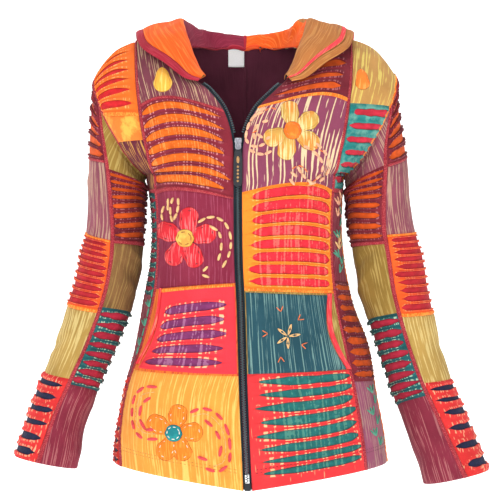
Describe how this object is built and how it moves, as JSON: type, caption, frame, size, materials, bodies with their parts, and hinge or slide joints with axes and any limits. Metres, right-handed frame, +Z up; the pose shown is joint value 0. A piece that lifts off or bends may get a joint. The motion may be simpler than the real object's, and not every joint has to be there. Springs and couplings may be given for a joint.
{
  "type": "hooded jacket",
  "caption": "Women's hooded zip jacket in slit and embroidered jersey patchwork, filled out as worn, with a lowered hood and patch pockets.",
  "frame": {"origin": "midway between the two neck points of the shoulder seams, where the wearer's shoulders hold the jacket", "axes": "+Z up the wearer's body, the front faces -Y, +X to the wearer's left"},
  "size_m": [0.6904, 0.3084, 0.6825],
  "materials": {
    "back_center_l": "matte",
    "back_center_r": "matte",
    "back_side_l": "matte",
    "back_side_r": "matte",
    "flower_orange": "matte",
    "flower_orange_center": "matte",
    "flower_red": "matte",
    "flower_red_center": "matte",
    "flower_tan": "matte",
    "flower_tan_center": "matte",
    "front_center_l": "matte",
    "front_center_r": "matte",
    "front_side_l": "matte",
    "front_side_r": "matte",
    "hood_hem": "matte",
    "hood_l": "matte",
    "hood_r": "matte",
    "neck_label": "smooth",
    "pocket_binding_l": "matte",
    "pocket_binding_r": "matte",
    "pocket_l": "matte",
    "pocket_r": "matte",
    "pull_rubber": "matte",
    "sleeve_inner": "matte",
    "sleeve_outer": "matte",
    "teardrop_l": "matte",
    "teardrop_r": "matte",
    "zip_box": "satin",
    "zip_coil": "satin",
    "zip_metal": "satin",
    "zip_tape": "matte"
  },
  "bodies": {
    "jacket": {"back_center_l": "back_center_l", "back_center_r": "back_center_r", "back_side_l": "back_side_l", "back_side_r": "back_side_r", "flower_orange": "flower_orange", "flower_orange_center": "flower_orange_center", "flower_red": "flower_red", "flower_red_center": "flower_red_center", "flower_tan": "flower_tan", "flower_tan_center": "flower_tan_center", "front_center_l": "front_center_l", "front_center_r": "front_center_r", "front_side_l": "front_side_l", "front_side_r": "front_side_r", "hood_hem_l": "hood_hem", "hood_hem_r": "hood_hem", "hood_l": "hood_l", "hood_r": "hood_r", "neck_label": "neck_label", "pocket_binding_l": "pocket_binding_l", "pocket_binding_r": "pocket_binding_r", "pocket_l": "pocket_l", "pocket_r": "pocket_r", "sleeve_inner_l": "sleeve_inner", "sleeve_inner_r": "sleeve_inner", "sleeve_outer_l": "sleeve_outer", "sleeve_outer_r": "sleeve_outer", "teardrop_l": "teardrop_l", "teardrop_r": "teardrop_r", "zip_box": "zip_box", "zip_chain": "zip_coil", "zip_coil_l": "zip_coil", "zip_coil_r": "zip_coil", "zip_slider": "zip_metal", "zip_tape_l": "zip_tape", "zip_tape_r": "zip_tape"},
    "pull": {"zip_link": "zip_metal", "zip_pull": "pull_rubber"}
  },
  "joints": [
    {"name": "pull_lift", "type": "hinge", "parent": "jacket", "child": "pull", "pos_m": [-0.00953, -0.12388, -0.14571], "axis": [-1, 0, 0], "range_deg": [0, 150]}
  ]
}
